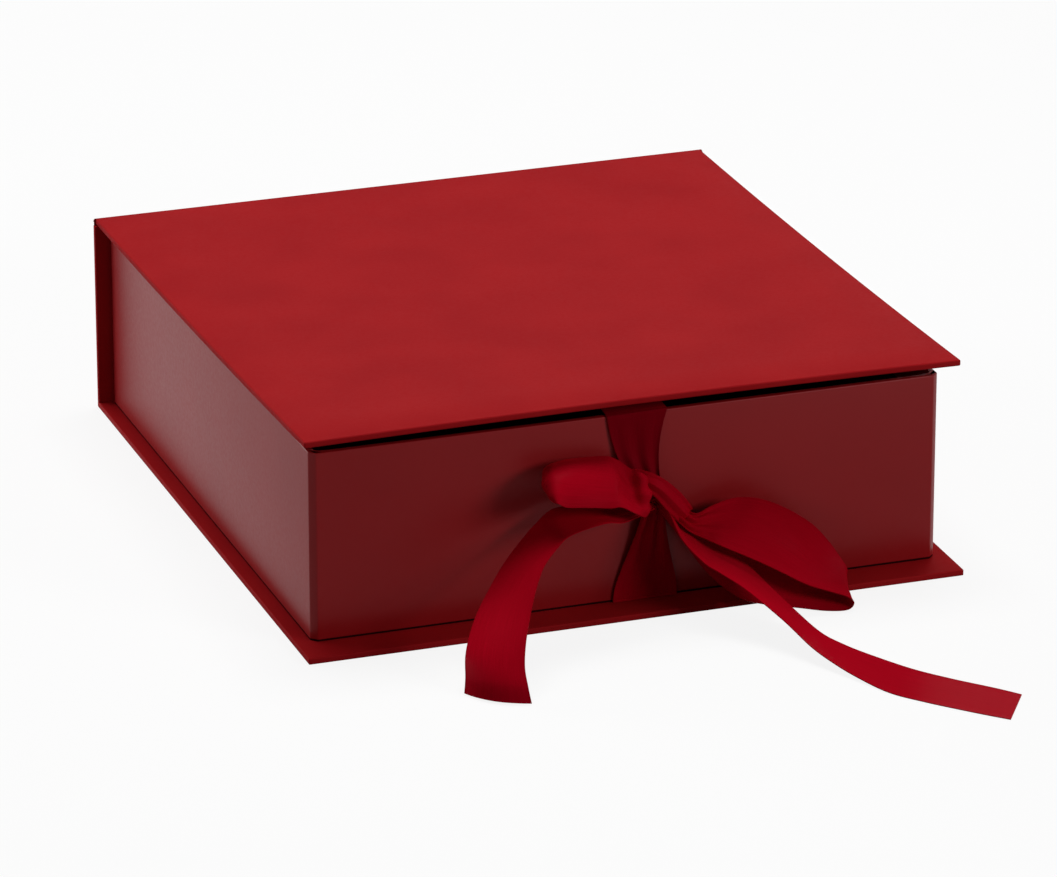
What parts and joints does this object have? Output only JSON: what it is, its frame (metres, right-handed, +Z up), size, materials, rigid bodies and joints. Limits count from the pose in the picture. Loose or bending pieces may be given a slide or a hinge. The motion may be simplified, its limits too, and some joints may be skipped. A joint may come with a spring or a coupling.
{
  "type": "chocolate box",
  "caption": "Book-style chocolate box: a paper-covered lid folds up from the spine of a deep lined tray, and a satin ribbon tied in a bow at the front keeps it shut.",
  "frame": {"origin": "middle of the base's underside, on the surface the box stands on", "axes": "+X along the front to the right, +Y to the back, where the spine is, +Z up"},
  "size_m": [0.272, 0.4308, 0.0894],
  "materials": {
    "greyboard": "matte board",
    "red_paper": "matte, finely embossed",
    "lining_paper": "matte",
    "stay_tape": "matte gummed tape",
    "satin_ribbon": "satin sheen"
  },
  "bodies": {
    "base": {"base_board": "greyboard", "base_wrap": "red_paper", "base_liner": "red_paper", "spine_board": "greyboard", "spine_wrap": "red_paper", "spine_liner": "red_paper", "corner_stays": "stay_tape", "tray_floor": "greyboard", "tray_front_wall": "greyboard", "tray_back_wall": "greyboard", "tray_left_wall": "greyboard", "tray_right_wall": "greyboard", "lining_front": "lining_paper", "lining_back": "lining_paper", "lining_left": "lining_paper", "lining_right": "lining_paper", "lining_floor": "lining_paper", "tray_wrap": "red_paper", "ribbon_knot": "satin_ribbon", "base_ribbon": "satin_ribbon", "left_loop": "satin_ribbon", "right_loop": "satin_ribbon", "left_tail": "satin_ribbon", "right_tail": "satin_ribbon"},
    "lid": {"lid_board": "greyboard", "lid_wrap": "red_paper", "lid_liner": "red_paper", "lid_ribbon": "satin_ribbon"}
  },
  "joints": [
    {"name": "lid_hinge", "type": "hinge", "parent": "base", "child": "lid", "pos_m": [0, 0.1467, 0.0837], "axis": [-1, 0, 0], "range_deg": [0, 195]}
  ]
}
